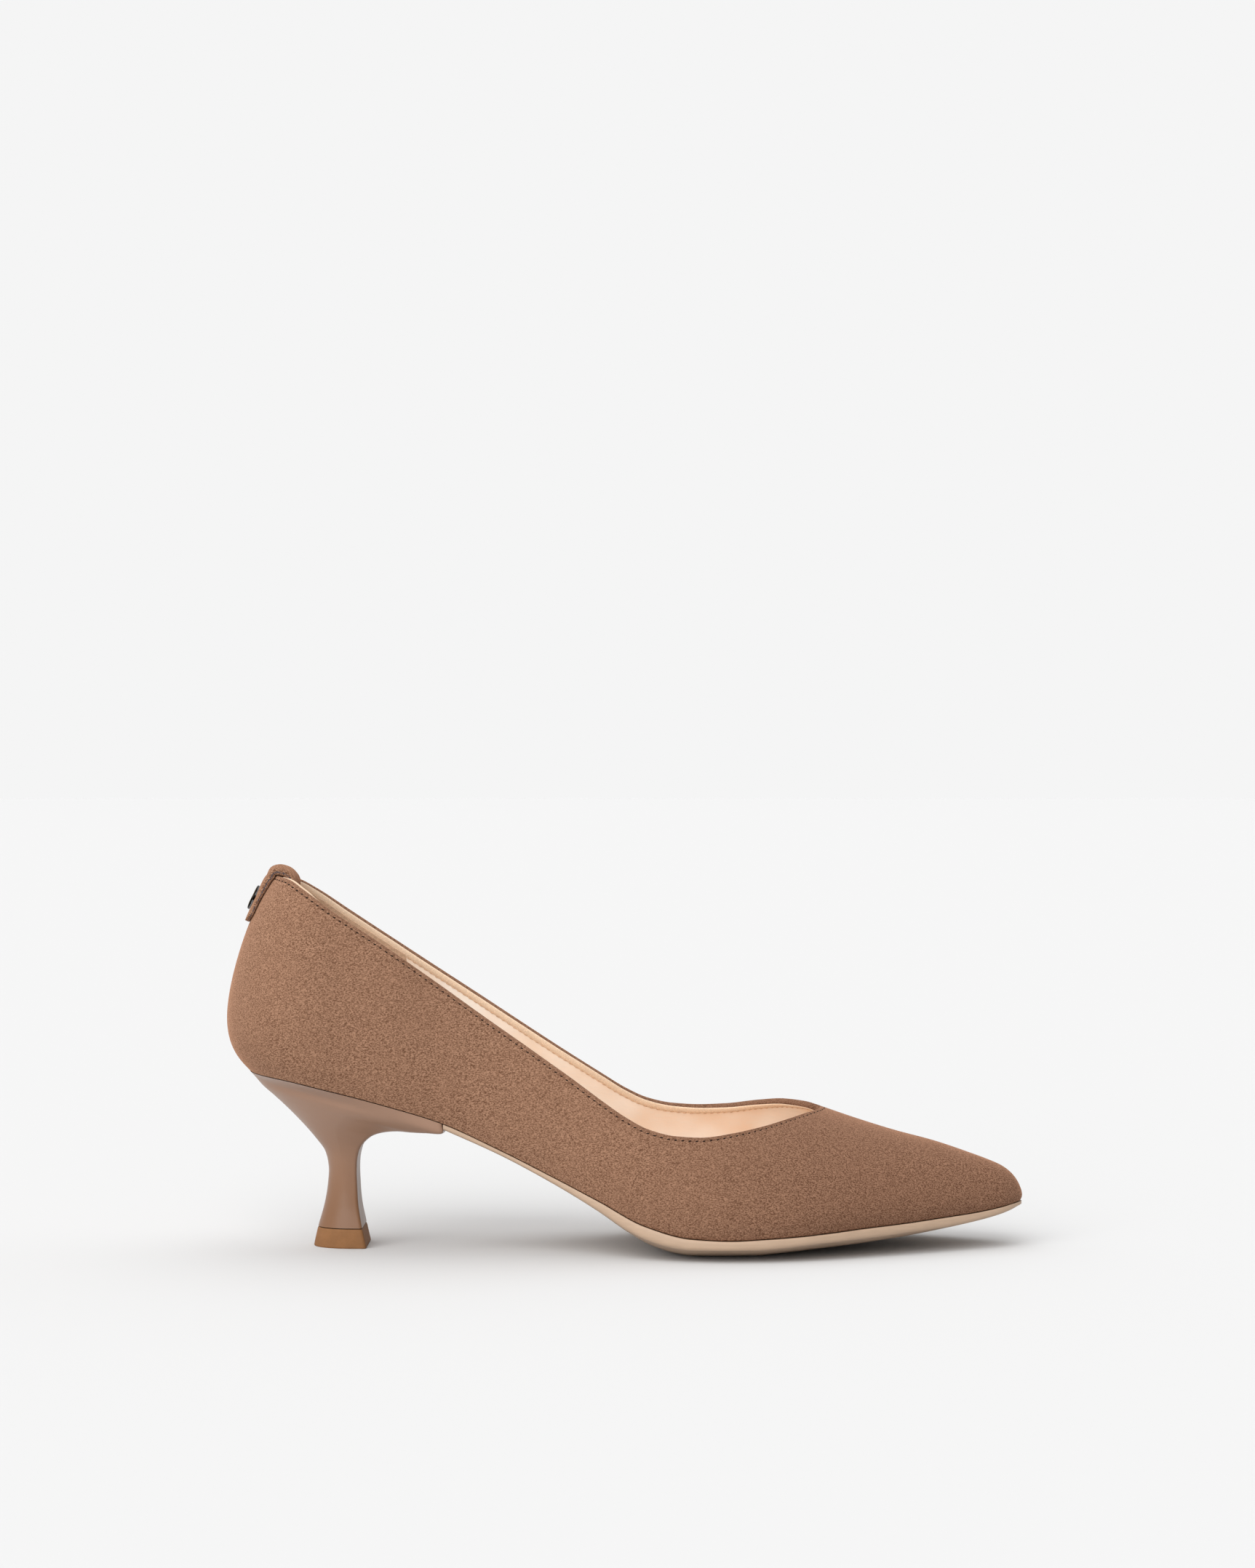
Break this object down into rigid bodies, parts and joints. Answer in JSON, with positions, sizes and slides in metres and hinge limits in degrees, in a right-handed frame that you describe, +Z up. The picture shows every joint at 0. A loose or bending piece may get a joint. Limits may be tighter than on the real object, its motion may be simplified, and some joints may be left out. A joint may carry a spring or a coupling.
{
  "type": "suede pump",
  "caption": "Pointed-toe suede pump with a flared spool heel, thin leather sole, pale lining and a strap with a plain metal oval folded over the back edge.",
  "frame": {"origin": "middle of the heel top piece's flat tread, on the floor", "axes": "+X towards the toe, +Y towards the inner side of the foot, +Z up; the outer side faces -Y"},
  "size_m": [0.2464, 0.0796, 0.1179],
  "materials": {
    "suede": "napped suede, matt",
    "sole_leather": "smooth, satin",
    "lacquer": "lacquered, semi-gloss",
    "heel_rubber": "moulded, matt",
    "lining_leather": "smooth, satin",
    "ornament_metal": "polished, dark gold"
  },
  "bodies": {
    "root": {"upper": "suede", "outsole": "sole_leather", "heel": "lacquer", "top_piece": "heel_rubber", "insole": "lining_leather", "heel_tab": "suede", "tab_ornament": "ornament_metal"}
  },
  "joints": []
}
